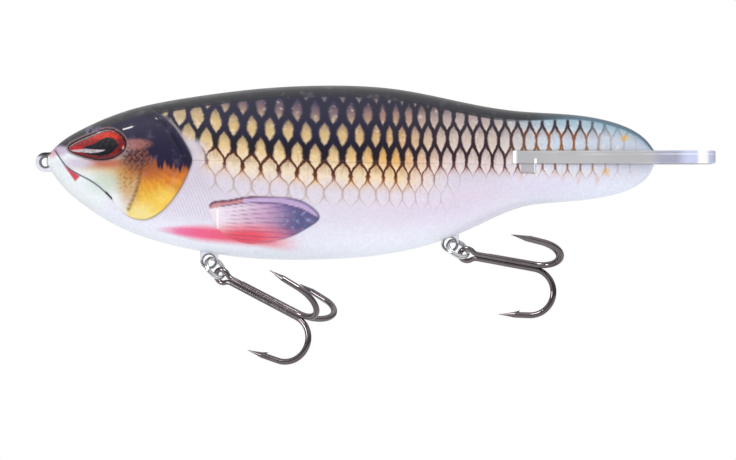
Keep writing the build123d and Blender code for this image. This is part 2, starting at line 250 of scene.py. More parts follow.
def paint_head(x, z, color):
    wave = ripple(x, z, 1.1) * 0.6 + ripple(x, z, 2.6, 1.0) * 0.4
    mottle = ripple(x, z, 3.9, 2.0) * 0.6 + ripple(x, z, 6.5, 0.5) * 0.4
    color = lay(color, rgb(240, 246, 250), np.ones_like(x))
    color = patches(x, z, color, [
        ((214, 168, 92), 0.95, (21.8, -3.8, 5.6, 3.6, 0.7)),
        ((222, 196, 140), 0.6, (15.0, -1.6, 5.0, 1.6, 0.8)),
        ((202, 220, 206), 0.8, (17.2, -5.8, 4.6, 2.6, 0.8)),
        ((190, 104, 74), 0.95, (17.5, -0.3, 7.0, 1.5, 0.8)),
    ])
    line = np.interp(z, [-13.1, -9.5, -5.5, -1.8, 3], [23, 24.6, 26, 26.8, 27])
    plate = smooth(-0.6, 0.6, x - line)
    gold = ramp(z + 1.3 * wave + 0.12 * (x - 30), [
        (-17, 248, 234, 165), (-13, 246, 208, 78), (-9, 234, 176, 46),
        (-5.5, 232, 152, 48), (-3, 218, 122, 44), (-0.5, 160, 84, 50),
    ])
    color = lay(color, gold, plate)
    angle = np.arctan2(z - 1.5, x - 24)
    streak = np.sin(angle * 40 + 2.5 * wave) * 0.5 + 0.5
    color = lay(color, rgb(150, 78, 28), 0.42 * streak**3 * plate * smooth(-13, -4, z))
    color = lay(color, rgb(255, 226, 110), 0.5 * blob(x, z, 33.5, -9.5, 3.2, 2.2, 0.8))
    front = blob(x, z, 23.6, -6.0, 2.8, 6.2, 0.7)
    color = lay(color, rgb(206, 158, 88), 0.85 * front)
    color = lay(color, rgb(120, 66, 40), 0.8 * front * smooth(0.1, 0.6, mottle) * smooth(-12, -4, z))
    color = patches(x, z, color, [
        ((246, 226, 150), 0.8, (26.5, -13.8, 3.4, 2.2, 0.8)),
        ((168, 92, 48), 0.9, (27.5, -1.6, 5.4, 2.8, 0.8)),
    ])
    brown = blob(x, z, 25.9, 1.9, 4.6, 3.4, 0.6)
    color = lay(color, rgb(112, 66, 60), brown)
    color = lay(color, rgb(54, 24, 48), brown * smooth(-0.15, 0.35, mottle))
    color = lay(color, rgb(176, 112, 66), 0.8 * brown * smooth(0.35, 0.8, -mottle))
    limit = np.interp(x, [-2, 3, 7, 12, 16, 22, 24, 27, 29, 30, 32, 34, 36.5, 39, 42], [
        3.0, 3.3, 4.2, 4.6, 5.2, 5.2, 4.6, 4.2, 2.6, 0.9, -1.6, -0.9, -2.2, -1.7, -2.2,
    ])
    teeth = 0.7 * np.sin(x * 2.3) + 0.6 * np.sin(x * 5.1 + 1) + 0.5 * mottle
    jag = smooth(28, 31, x) * teeth + 0.35 * wave
    dark = smooth(-0.4, 0.5, z - limit - jag)
    color = lay(color, rgb(26, 20, 56), dark)
    color = lay(color, rgb(46, 46, 52), smooth(3.0, 2.2, top_at(x) - z) * smooth(2, 8, x))
    pink = blob(x, z, 25.6, 4.9, 3.8, 1.25, 0.4) * smooth(-0.7, 0.1, mottle + 0.3)
    color = lay(color, rgb(164, 104, 96), 0.9 * pink)
    color = patches(x, z, color, [
        ((206, 188, 212), 0.95, (4.0, 3.1, 2.6, 1.3, 0.5)),
        ((232, 150, 160), 0.7, (1.8, 2.4, 1.2, 1.0, 0.6)),
        ((214, 206, 226), 0.9, (9.0, -0.4, 3.6, 1.3, 0.8)),
    ])
    color = lay(color, rgb(214, 70, 88), smooth(-0.25, 0.25, signed(x, z, np.array(RED_GILL))))
    for spot_x, spot_z in ((12.4, 8.6), (14.8, 8.5)):
        color = lay(color, rgb(140, 136, 170), 0.6 * blob(x, z, spot_x, spot_z, 1.0, 1.1, 0.6))
        color = lay(color, rgb(12, 10, 26), blob(x, z, spot_x + 0.1, spot_z - 0.1, 0.5, 0.65, 0.4))
    dots = 0.5 + 0.5 * np.sin(z * 5.2)
    near = distance(x, z, CURVES["preopercle"]) + 0.25 * mottle
    color = lay(color, rgb(98, 50, 24), (1 - smooth(0.15, 0.85, near)) * (0.3 + 0.4 * dots))
    rim = signed(x, z, CURVES["eye"])
    color = lay(color, rgb(150, 110, 116), 0.8 * (1 - smooth(0.08, 0.3, np.abs(rim + 0.5))))
    return lay(color, rgb(30, 12, 20), smooth(-0.42, -0.15, rim))


def paint_fin(x, z, color, shape):
    fin = smooth(-0.15, 0.15, shape)
    root_x, root_z = FIN_RAY_ROOT
    angle = np.arctan2(z - root_z, x - root_x)
    rays = 0.5 + 0.5 * np.sin(angle * 240 + 0.5 * ripple(x, z, 0.5))
    tone = ramp(x + 0.6 * (z + 15), [
        (47, 240, 228, 240), (57, 232, 212, 230), (62, 206, 172, 208),
        (66, 150, 128, 178), (70, 92, 88, 142), (76, 88, 80, 134),
    ])
    tone = patches(x, z, tone, [
        ((70, 78, 130), 0.85, (69.0, -17.0, 6.0, 3.2, 0.8)),
        ((200, 150, 186), 0.6, (60, -15.5, 6, 2.6, 0.8)),
    ])
    mottle = ripple(x, z, 2.1, 0.7) * 0.6 + ripple(x, z, 4.3, 1.2) * 0.4
    flecks = 0.7 * smooth(0.1, 0.7, mottle) * smooth(60, 66, x) * smooth(-12.5, -14, z)
    tone = lay(tone, rgb(140, 152, 200), flecks)
    tone = lay(tone, rgb(236, 74, 96), blob(x, z, 55.5, -20.6, 10.5, 3.0, 0.7))
    tone = lay(tone, rgb(110, 66, 122), 0.55 * rays**6 * smooth(48, 54, x))
    inner = np.interp(x, *zip(*FIN_TOP_RAY))
    ahead = 1 - smooth(54.6, 55.2, x)
    tone = lay(tone, rgb(196, 172, 216), 0.9 * smooth(-0.1, 0.1, z - inner) * (1 - ahead))
    tone = lay(tone, rgb(196, 128, 136), 0.9 * smooth(-0.1, 0.1, z - inner) * ahead)
    line = (1 - smooth(0.05, 0.28, np.abs(z - inner))) * smooth(48.2, 49.5, x)
    tone = lay(tone, rgb(84, 48, 96), 0.85 * line)
    color = lay(color, tone, fin)
    top_edge = (1 - smooth(0.12, 0.42, np.abs(shape))) * smooth(-12.8, -11.6, z) * (1 - smooth(70, 73, x))
    color = lay(color, rgb(104, 44, 70), top_edge * (1 - 0.4 * smooth(58, 66, x)))
    tip_edge = (1 - smooth(0.1, 0.45, np.abs(shape))) * smooth(64, 72, x)
    color = lay(color, rgb(80, 72, 120), 0.8 * tip_edge)
    # Painted highlight: a white line down the raised front edge of the fin.
    front = 1 - smooth(0.1, 0.32, np.abs(x - 47.9))
    front *= smooth(-18.6, -18.2, z) * (1 - smooth(-13.1, -12.8, z))
    return lay(color, rgb(255, 255, 255), front)


def patches(x, z, color, rows):
    """Lays soft oval patches, each a colour, a strength and a blob's place, size and softness."""
    for tone, strength, spot in rows:
        color = lay(color, rgb(*tone), strength * blob(x, z, *spot))
    return color


def by_length(x, tones):
    """Blends colours given at places along the body."""
    places = [place for place, _ in tones]
    result = np.zeros((len(x), 3))
    for index, (_, color) in enumerate(tones):
        share = np.interp(x, places, [float(index == other) for other in range(len(places))])
        result += color * share[:, None]
    return result


def spot_tone(x, row):
    front = ramp(row, [
        (-1.5, 60, 50, 74), (-1, 122, 98, 108), (-0.5, 176, 148, 112), (0, 212, 182, 128),
        (0.6, 216, 184, 130), (1, 228, 196, 144), (1.5, 238, 212, 172),
        (2, 240, 222, 196), (2.5, 234, 218, 212), (3, 228, 220, 234),
    ])
    middle = ramp(row, [
        (-1.5, 80, 60, 74), (-1, 168, 130, 112), (0, 206, 164, 108), (1, 232, 176, 100),
        (1.5, 240, 200, 138), (2, 244, 216, 172), (3, 232, 222, 230),
    ])
    rear = ramp(row, [
        (-1.5, 110, 96, 104), (-1, 176, 158, 158), (0, 208, 190, 180), (1, 224, 206, 204),
        (2, 226, 220, 236),
    ])
    tail = ramp(row, [
        (-1.5, 120, 148, 166), (-1, 160, 186, 204), (0, 204, 216, 232), (1, 222, 226, 240),
    ])
    neck = lay(front, rgb(176, 156, 140), np.full(len(x), 0.6))
    return by_length(x, [
        (36, neck), (46, front), (80, front), (97, middle), (112, rear), (124, rear), (138, tail),
    ])


def edge_tone(x, row):
    front = ramp(row, [
        (-1, 32, 28, 68), (0.1, 34, 27, 70), (0.8, 26, 14, 42), (1.15, 48, 22, 38),
        (1.5, 128, 70, 44), (1.85, 110, 54, 32), (2.1, 150, 82, 44), (2.4, 232, 176, 116),
        (3, 230, 200, 168), (4, 226, 206, 200),
    ])
    middle = ramp(row, [
        (-1, 36, 28, 62), (0, 40, 26, 58), (1, 34, 14, 26), (1.4, 120, 60, 34),
        (1.9, 120, 58, 30), (2.2, 206, 130, 66), (2.7, 232, 176, 116), (3.3, 236, 206, 196),
    ])
    rear = ramp(row, [
        (-1, 42, 28, 52), (0, 58, 34, 52), (1, 78, 44, 54), (1.3, 140, 88, 84),
        (1.7, 206, 160, 150), (2.2, 228, 206, 220),
    ])
    tail = ramp(row, [
        (-1.2, 28, 30, 48), (-0.6, 70, 40, 48), (-0.3, 178, 116, 84), (0.3, 206, 152, 104),
        (1, 204, 150, 120), (2, 230, 214, 226),
    ])
    return by_length(x, [(80, front), (97, middle), (110, rear), (126, rear), (138, tail)])


def paint(x, z):
    """Base colour, scale centre colour, scale outline colour, scale strength and hatching strength."""
    g = level(x, z)
    row = lattice(x, z)[:, 1]
    depth = top_at(x) - z
    body = ramp(g, [
        (-1, 238, 244, 255), (-0.82, 238, 240, 254), (-0.6, 226, 220, 236),
        (-0.3, 217, 209, 224), (0.3, 212, 203, 214), (0.8, 40, 34, 60),
    ])
    tail = ramp(g, [
        (-1, 234, 240, 255), (-0.4, 226, 227, 243), (0.1, 222, 225, 238),
        (0.55, 206, 218, 234), (0.8, 158, 186, 204), (1, 92, 122, 142),
    ])
    rear = smooth(124, 140, x)
    body = lay(body, tail, rear)
    body = patches(x, z, body, [
        ((226, 206, 232), 0.4, (112, -13, 22, 6, 0.8)),
        ((226, 214, 240), 0.5, (138, -6, 10, 3, 0.8)),
    ])

    pattern = 1 - 0.5 * smooth(2.1, 2.8, row + 0.2 * ripple(x, z, 0.5, 1.0)) - 0.5 * smooth(3.0, 3.9, row)
    pattern *= 1 - smooth(1.25, 2.0, row) * smooth(104, 118, x)
    pattern *= 1 - 0.75 * smooth(146, 160, x)
    pattern *= 1 - smooth(161, 166, x)
    gill = signed(x, z, HEAD)
    pattern *= smooth(0.2, 1.2, -gill)
    pattern *= 1 - (1 - smooth(41.5, 46.5, x)) * smooth(0.9, 1.4, row)

    thick = 2.9 - 1.6 * smooth(126, 152, x)
    strip = 1 - smooth(-0.35, 0.25, depth - thick)
    band = ramp(depth, [(0, 50, 51, 56), (1.5, 34, 35, 42), (3, 28, 28, 40)])
    blue = ramp(depth, [(0, 66, 88, 104), (1.4, 96, 130, 152)])
    far = smooth(132, 154, x)
    band = lay(band, blue, far)
    body = lay(body, band, strip)
    pattern *= 1 - strip
    rail = (1 - smooth(0.1, 0.45, np.abs(depth - thick - 0.15))) * (1 - smooth(120, 140, x))
    body = lay(body, rgb(14, 12, 32), rail)
    pattern *= 1 - rail

    middle = -18.5 - 0.085 * (x - 30) - 0.9 * smooth(58, 72, x)
    width = 1.75 * smooth(28, 46, x) + 0.5
    stripe = 1 - smooth(0.35, 1.4, np.abs(z - middle) / width)
    stripe *= smooth(29, 38, x) * (1 - smooth(58, 73, x))
    pink = ramp(x, [(30, 238, 140, 196), (42, 240, 96, 146), (54, 240, 84, 110)])
    body = lay(body, pink, stripe)

    soft = 0.12 + 3.0 * smooth(20.5, 17.5, x)
    head = smooth(-soft, soft, gill) * smooth(-0.6, 0.6, z + 17.2)
    face = paint_head(x, z, body.copy())
    body = lay(body, face, head)
    rim = 1 - smooth(0.08, 0.4, np.abs(gill))
    body = lay(body, rgb(24, 20, 40), rim * smooth(-4, 0.5, z) * (1 - smooth(13, 16, z)))
    body = lay(body, rgb(150, 108, 50), 0.6 * rim * (1 - smooth(-4, 0, z)) * smooth(21, 25, x))
    ridge = distance(x, z, CURVES["ridge"])
    body = lay(body, rgb(8, 8, 22), 0.9 * (1 - smooth(0.1, 0.4, ridge)))
    body = lay(body, rgb(96, 100, 122), 0.9 * (1 - smooth(0.08, 0.3, distance(x, z, CURVES["mouth"]))))
    mark = distance(x, z, [(17.0, -8.7), (18.5, -10.2)])
    body = lay(body, rgb(18, 16, 18), 1 - smooth(0.12, 0.36, mark))

    fin = signed(x, z, CURVES["fin"])
    body = paint_fin(x, z, body, fin)
    pattern *= 1 - smooth(-0.4, 0.0, fin)
    for cx, cz, size in (
        (155.0, -2.6, 1.1), (160.2, 6.6, 1.0), (151, -1.9, 0.6), (146, 4.6, 0.5), (150, 6, 0.5),
    ):
        shift = 0.35 * ripple(x, z, 3.0, cx)
        body = lay(body, rgb(242, 194, 96), 0.9 * blob(x + shift, z, cx, cz, size, size * 0.9, 0.7))
    for cx, cz in ((150.5, -1.5), (152.3, -1.9), (154.6, -1.3), (148.2, 4.1), (153.4, 4.2), (157.5, 3.9)):
        body = lay(body, rgb(255, 255, 255), 0.9 * blob(x, z, cx + 0.2 * z, cz, 0.35, 0.6, 0.6))
    for cx, cz in ((140.5, -3.2), (143.5, -3.4), (147.5, -4.6), (152.6, -4.9), (131.5, -3.6)):
        body = lay(body, rgb(226, 164, 124), 0.6 * blob(x, z, cx + 0.15 * (z - cz), cz, 0.4, 1.3, 0.8))
    tab = np.maximum(np.abs(x - 133.45) - 1.85, np.abs(z + 1.6) - 1.45)
    body = lay(body, rgb(112, 96, 90), 1 - smooth(0.1, 0.3, np.abs(tab)))
    pattern *= smooth(-0.1, 0.3, tab)
    hatch = smooth(0.8, 2.0, -gill) * (1 - smooth(44, 52, x)) * (1 - smooth(-0.4, 0.0, fin))
    hatch *= smooth(-17.5, -14, z) * (1 - smooth(-2, 1.0, z)) * smooth(24, 30, x)
    return body, spot_tone(x, row), edge_tone(x, row), np.clip(pattern, 0, 1), np.clip(hatch, 0, 1)


def lattice(x, z):
    """Scale coordinates: column, row and half the outline's width as a share of a column."""
    column = np.interp(x, *zip(*SCALE_COLUMNS))
    spacing = 5.0 - 1.5 * smooth(86, 97, x)
    rise = z - np.interp(x, *zip(*SCALE_ROW))
    row = np.interp(-rise, [-12, -5.8, 0, 6.2, 11.5, 16.4, 21.4], [-2, -1, 0, 1, 2, 3, 4])
    half = np.interp(
        row, [-1, 0, 1, 1.35, 1.7, 1.86, 2, 2.14, 2.3, 3, 4],
        [1.4, 1.25, 1.12, 0.6, 0.34, 0.42, 0.74, 0.42, 0.28, 0.42, 0.42],
    )
    places = [36, 44, 54, 88, 104, 116, 130, 150]
    thinning = np.interp(x, places, [0.5, 0.75, 1, 1, 0.52, 0.4, 0.32, 0.26])
    half = half * thinning
    return np.stack([column, row, half / spacing], axis=1)


# Relief

def relief(x, z):
    """Height of the moulded details over the plain body, in millimetres."""
    gill = signed(x, z, HEAD)
    edge = distance(x, z, CURVES["edge"])
    fade = smooth(17, 11, z)
    plate = np.where(gill > 0, 0.42 * np.exp(-edge / 3.5), -0.22 * np.exp(-((edge - 0.3) / 0.35) ** 2))
    height = plate * fade * smooth(20, 25, x) * smooth(0.0, 0.25, edge + 0.1)
    height -= 0.16 * np.exp(-((distance(x, z, CURVES["ridge"]) / 0.4) ** 2))
    height -= 0.12 * np.exp(-((distance(x, z, CURVES["preopercle"]) / 0.5) ** 2))
    height -= 0.35 * np.exp(-((distance(x, z, CURVES["mouth"]) / 0.4) ** 2))
    mark = distance(x, z, [(17.0, -8.6), (18.3, -10.1)])
    height -= 0.5 * np.exp(-((mark / 0.45) ** 2))
    fin = signed(x, z, CURVES["fin"])
    root_x, root_z = FIN_RAY_ROOT
    rays = np.sin(np.arctan2(z - root_z, x - root_x) * 240) * smooth(0.5, 2.0, fin)
    height += smooth(-0.15, 0.35, fin) * (0.42 + 0.035 * rays)
    for spot_x, spot_z in ((12.4, 8.6), (14.8, 8.5)):
        height -= 0.4 * blob(x, z, spot_x, spot_z, 0.5, 0.65, 0.5)
    rim = signed(x, z, CURVES["eye"])
    height += 0.2 * np.exp(-(((rim + 0.45) / 0.35) ** 2))
    height -= 1.3 * smooth(-0.15, 0.1, rim)
    return height


def scale_relief(column, row, half):
    a = np.abs(column - np.round(column))
    c = 0.25 * (1 + np.cos(math.pi * row))
    gap = np.abs(a - c)
    return 0.06 * smooth(half * 0.5, half * 1.6 + 0.02, gap)


# Mesh helpers

def new_piece(name, verts, faces, body, replaced=()):
    mesh = bpy.data.meshes.new(name)
    mesh.from_pydata([tuple(v) for v in np.asarray(verts) * MM], [], faces)
    mesh.validate()
    mesh.update()
    piece = bpy.data.objects.new(name, mesh)
    bpy.context.scene.collection.objects.link(piece)
    mesh.polygons.foreach_set("use_smooth", [True] * len(mesh.polygons))
    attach(piece, body)
    if replaced:
        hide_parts(*replaced)
    return piece


def set_color(mesh, name, values):
    attribute = mesh.attributes.new(name, "FLOAT_COLOR", "POINT")
    rgba = np.ones((len(values), 4), np.float32)
    rgba[:, :3] = values
    attribute.data.foreach_set("color", rgba.ravel())


def set_vector(mesh, name, values):
    attribute = mesh.attributes.new(name, "FLOAT_VECTOR", "POINT")
    attribute.data.foreach_set("vector", values.astype(np.float32).ravel())


def set_float(mesh, name, values):
    attribute = mesh.attributes.new(name, "FLOAT", "POINT")
    attribute.data.foreach_set("value", values.astype(np.float32))


def dress(piece, base, spot, edge, cells, pattern, hatch):
    """Stores what the skin's shader reads."""
    for name, values in (("base_tone", base), ("spot_tone", spot), ("edge_tone", edge)):
        set_color(piece.data, name, values)
    set_vector(piece.data, "scale_grid", cells)
    set_float(piece.data, "scale_amount", pattern)
    set_float(piece.data, "hatch_amount", hatch)


def grid_faces(columns, rows):
    """Quads of a grid stored column by column."""
    i = np.arange(columns - 1)[:, None] * rows
    j = np.arange(rows - 1)[None, :]
    a = (i + j).ravel()
    return np.stack([a, a + 1, a + rows + 1, a + rows], axis=1)


# Shells

def stations():
    quarter = np.linspace(90, 8, 9)
    nose = NOSE_X - END_ROUND * np.sin(np.radians(quarter))
    tail = TAIL_X + END_ROUND * np.sin(np.radians(quarter[::-1]))
    x = np.concatenate([
        nose, np.arange(NOSE_X, 80, FINE_STEP), np.arange(80, SLOT_X - 0.2, COARSE_STEP),
        [SLOT_X - 0.05, SLOT_X + 0.05], np.arange(SLOT_X + 0.4, TAIL_X - 0.2, COARSE_STEP), [TAIL_X], tail,
    ])
    scale = np.ones_like(x)
    scale[:len(nose)] = np.cos(np.radians(quarter))
    scale[-len(tail):] = np.cos(np.radians(quarter[::-1]))
    return x, np.maximum(scale, 0.02)


def shell_mesh(name, upper, rows, node):
    """One shell: its outer skin with all relief, closed by a strip along the parting curve."""
    x, scale = stations()
    inner_x = np.clip(x, NOSE_X, TAIL_X)
    centre = (top_at(inner_x) + bottom_at(inner_x)) / 2
    rise = (top_at(inner_x) - bottom_at(inner_x)) / 2 * scale
    half = half_at(inner_x) * scale
    ratio = np.clip((parting(x, upper) - centre) / rise, -1, 1)
    split = np.arcsin(np.sign(ratio) * np.abs(ratio) ** (POWER / 2))
    end = math.pi / 2 if upper else -math.pi / 2
    share = np.linspace(0, 1, rows)
    t = 0.7 * share + 0.3 * share**2.5
    angle = split[:, None] + (end - split[:, None]) * t[None, :]
    y = half[:, None] * np.abs(np.cos(angle)) ** (2 / POWER)
    z = centre[:, None] + rise[:, None] * np.sign(np.sin(angle)) * np.abs(np.sin(angle)) ** (2 / POWER)
    xx = np.repeat(x[:, None], rows, axis=1)

    left = np.stack([xx, -y, z], axis=2)
    along = np.gradient(left, axis=0)
    around = np.gradient(left, axis=1)
    normal = np.cross(along, around)
    length = np.linalg.norm(normal, axis=2, keepdims=True)
    normal = normal / np.maximum(length, 1e-9)
    flip = np.where(normal[:, :, 1:2] > 0, -1, 1)
    normal = normal * flip

    flat_x, flat_z = xx.ravel(), z.ravel()
    base, spot, edge, pattern, hatch = paint(flat_x, flat_z)
    cells = lattice(flat_x, flat_z)
    height = relief(flat_x, flat_z) + pattern * scale_relief(*cells.T)
    sheet = np.clip(y.ravel() / 1.2, 0, 1)
    gap = np.abs(t)[None, :] * np.abs(end - split)[:, None] * np.maximum(rise, half)[:, None]
    height = height * sheet - 0.16 * np.exp(-((gap.ravel() / 0.22) ** 2))
    ends = smooth(0, 1.5, np.minimum(xx - x[0], x[-1] - xx)).ravel()
    left = left + normal * (height * ends).reshape(xx.shape)[:, :, None]

    right = left[:, -2::-1] * np.array([1, -1, 1])
    ring = np.concatenate([left, right], axis=1)
    columns, count = ring.shape[:2]
    faces = grid_faces(columns, count)
    first = np.arange(columns - 1) * count
    strip = np.stack([first, first + count, first + 2 * count - 1, first + count - 1], axis=1)
    ends_faces = [list(range(count)), list(range((columns - 1) * count, columns * count))[::-1]]
    if not upper:
        faces, strip = faces[:, ::-1], strip[:, ::-1]
        ends_faces = [face[::-1] for face in ends_faces]
    piece = new_piece(
        name, ring.reshape(-1, 3), faces.tolist() + strip.tolist() + ends_faces, "root", (node,)
    )

    def both(values):
        shaped = values.reshape(columns, rows, -1)
        return np.concatenate([shaped, shaped[:, -2::-1]], axis=1).reshape(columns * count, -1)

    dress(piece, both(base), both(spot), both(edge), both(cells), both(pattern)[:, 0], both(hatch)[:, 0])
    return piece


def lug_mesh(name, x, z, outer, hole, thickness, root, reach, tone_top, tone):
    """Flat round lug with a bevelled rim and hole; root is the neck's direction, reach its length."""
    bevel = 0.25
    count = 96
    angle = np.linspace(0, 2 * math.pi, count, endpoint=False)
    direction = np.stack([np.cos(angle), np.sin(angle)], axis=1)
    towards = direction @ np.array(root)
    across = direction @ np.array([-root[1], root[0]])
    neck = np.minimum(reach / np.maximum(towards, 1e-6), outer / np.maximum(np.abs(across), 1e-6))
    radius = np.where(towards > 0, neck, outer)
    half = thickness / 2
    profile = [
        (hole, 0, -half + bevel), (hole + bevel, 0, -half), (0, bevel, -half), (0, 0, -half + bevel),
        (0, 0, half - bevel), (0, bevel, half), (hole + bevel, 0, half), (hole, 0, half - bevel),
    ]
    verts = []
    for fixed, cut, y in profile:
        r = np.full(count, fixed) if fixed else radius - cut
        flat = x + r * direction[:, 0], np.full(count, y), z + r * direction[:, 1]
        verts.append(np.stack(flat, axis=1))
    verts = np.concatenate(verts)
    faces = []
    rings = len(profile)
    for ring in range(rings):
        after = (ring + 1) % rings
        for k in range(count):
            n = (k + 1) % count
            faces.append((ring * count + k, after * count + k, after * count + n, ring * count + n))
    piece = new_piece(name, verts, faces, "root")
    tones = lay(np.repeat(tone[None], len(verts), axis=0), tone_top, smooth(1.2, 2.0, verts[:, 2] - z))
    none = np.zeros(len(verts))
    dress(piece, tones, tones, tones, np.zeros((len(verts), 3)), none, none)
    return piece


# Eyes and lip

def eye_surface(share, angle, side, depth):
    """Point of the eye at a share of the way to its outline, at a depth under the head's side."""
    outline = CURVES["eye"]
    middle = np.array(EYE_CENTRE)
    bearing = np.arctan2(outline[:, 1] - middle[1], outline[:, 0] - middle[0])
    order = np.argsort(bearing)
    reach = np.hypot(outline[:, 0] - middle[0], outline[:, 1] - middle[1])[order]
    r = np.interp(angle, bearing[order], reach, period=2 * math.pi) * share
    x = middle[0] + r * np.cos(angle)
    z = middle[1] + r * np.sin(angle)
    return np.stack([x, side * (side_surface(x, z) - depth), z], axis=-1)


def eye_disc(name, side, front, back, rings, node):
    """Closed disc of the eye's outline; front and back give the depth at a share of the radius."""
    count = 128
    angle = np.linspace(-math.pi, math.pi, count, endpoint=False)
    shares = np.linspace(0, 1, rings + 1)[1:]
    verts = [eye_surface(0.0, np.zeros(1), side, front(0.0))]
    for share in shares:
        verts.append(eye_surface(share, angle, side, front(share)))
    for share in shares[::-1]:
        verts.append(eye_surface(share, angle, side, back(share)))
    verts.append(eye_surface(0.0, np.zeros(1), side, back(0.0)))
    total = 2 * rings
    faces = []
    last = 1 + total * count
    for k in range(count):
        n = (k + 1) % count
        faces.append((0, 1 + k, 1 + n))
        for ring in range(total - 1):
            a, b = 1 + ring * count, 1 + (ring + 1) * count
            faces.append((a + k, b + k, b + n, a + n))
        a = 1 + (total - 1) * count
        faces.append((a + k, last, a + n))
    if side < 0:
        faces = [face[::-1] for face in faces]
    return new_piece(name, np.concatenate(verts), [tuple(f) for f in faces], "root", (node,))


def make_eye(name, side):
    foil = eye_disc(
        f"{name}_eye_foil_art", side, lambda s: 0.8 - 0.7 * s**4, lambda s: 1.15, 48,
        f"{name}_eye_foil",
    )
    co = np.array([v.co for v in foil.data.vertices]) / MM
    x, z = co[:, 0], co[:, 2]
    rim = signed(x, z, CURVES["eye"])
    wave = ripple(x, z, 2.2)
    tone = np.repeat(rgb(178, 10, 24)[None], len(x), axis=0)
    tone = lay(tone, rgb(250, 58, 30), blob(x, z, 17.5, 7.3, 5.0, 1.0, 0.8))
    tone = lay(tone, rgb(92, 4, 16), blob(x, z, 21.4, 3.6, 1.2, 2.6, 0.8) * (0.6 + 0.4 * wave))
    tone = patches(x, z, tone, [
        ((110, 8, 20), 1, (15.5, 1.3, 5.0, 0.7, 0.8)),
        ((232, 40, 54), 1, (9.2, 3.7, 2.6, 0.6, 0.8)),
    ])
    tone = lay(tone, rgb(12, 10, 28), smooth(-0.12, 0.12, signed(x, z, closed(PUPIL, 60))))
    tone = lay(tone, rgb(40, 10, 18), 1 - smooth(0.05, 0.3, rim))
    # Painted highlights on the foil: the lens's glint as a pale sliver, and a pinkish-white dot at the
    # rear of the ring.
    tone = lay(tone, rgb(236, 226, 232), 0.95 * smooth(-0.08, 0.1, signed(x, z, closed(GLINT, 60))))
    tone = lay(tone, rgb(250, 190, 180), blob(x, z, 21.9, 3.9, 0.3, 0.5, 0.6))
    set_color(foil.data, "foil_tone", tone)
    lens = eye_disc(
        f"{name}_eye_lens_dome", side, lambda s: 0.02 - 0.6 * (1 - s**2.5), lambda s: 0.76 - 0.7 * s**4,
        24, f"{name}_eye_lens",
    )
    return foil, lens


def make_lip():
    """Tail lip: the CAD plate's plan outline with rounded edges, and its locking tab."""
    low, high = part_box("tail_lip")
    front, rear, half_rear = low.x / MM, high.x / MM, high.y / MM
    half_front, corner, bevel = 7.5, 6.0, 0.45
    t = np.linspace(0, 1, 30)
    side_x = np.interp(t, [0, 1], [150, rear - corner])
    side_y = half_front + (half_rear - half_front) * smooth(0, 1, t)
    arc = np.radians(np.linspace(90, 0, 14))[1:]
    right = [(front, half_front)] + list(zip(side_x, side_y))
    round_x, round_y = rear - corner, half_rear - corner
    right += [(round_x + corner * math.cos(a), round_y + corner * math.sin(a)) for a in arc]
    outline = np.array(right + [(px, -py) for px, py in right[::-1]])
    forward = np.roll(outline, -1, axis=0) - np.roll(outline, 1, axis=0)
    normal = np.stack([-forward[:, 1], forward[:, 0]], axis=1)
    normal /= np.linalg.norm(normal, axis=1, keepdims=True)
    bottom, top = SLOT_BOTTOM, SLOT_TOP
    steps = np.radians([0, 30, 60, 90])
    levels = [(bevel * (1 - math.sin(a)), bottom + bevel * (1 - math.cos(a))) for a in steps]
    levels += [(bevel * (1 - math.cos(a)), top - bevel * (1 - math.sin(a))) for a in steps]
    count = len(outline)
    verts, faces = [], []
    for cut, z in levels:
        loop = outline + normal * cut * -1
        verts += [(px, py, z) for px, py in loop]
    for ring in range(len(levels) - 1):
        for k in range(count):
            n = (k + 1) % count
            a, b = ring * count, (ring + 1) * count
            faces.append((a + k, b + k, b + n, a + n))
    faces.append(tuple(range(count)))
    faces.append(tuple(range((len(levels) - 1) * count, len(levels) * count))[::-1])
    tab_low, tab_high = 131.6, 135.3
    start = len(verts)
    for z in (low.z / MM, bottom):
        for px, side in ((tab_low, -1), (tab_high, -1), (tab_high, 1), (tab_low, 1)):
            verts.append((px, side * (float(side_surface(px, z)) + 0.05), z))
    for face in ((0, 3, 2, 1), (4, 5, 6, 7), (0, 1, 5, 4), (1, 2, 6, 5), (2, 3, 7, 6), (3, 0, 4, 7)):
        faces.append(tuple(start + k for k in face))
    piece = new_piece("tail_lip_clear", verts, faces, "root", ("tail_lip",))
    piece.data.polygons.foreach_set("use_smooth", [False] * len(piece.data.polygons))
    return piece


# Hooks

def barb(tip, back, inner):
    """Sliver cut up from the wire, pointing back from the hook's point."""
    across = np.cross(back, inner)
    verts = [
        tip + back * 2.8 + inner * 0.35, tip + back * 4.4 + inner * 0.5 + across * 0.4,
        tip + back * 5.4 + inner * 0.6, tip + back * 4.4 + inner * 0.5 - across * 0.4,
        tip + back * 6.0 + inner * 1.35,
    ]
    return verts, [(0, 4, 1), (1, 4, 2), (2, 4, 3), (3, 4, 0), (0, 1, 2, 3)]


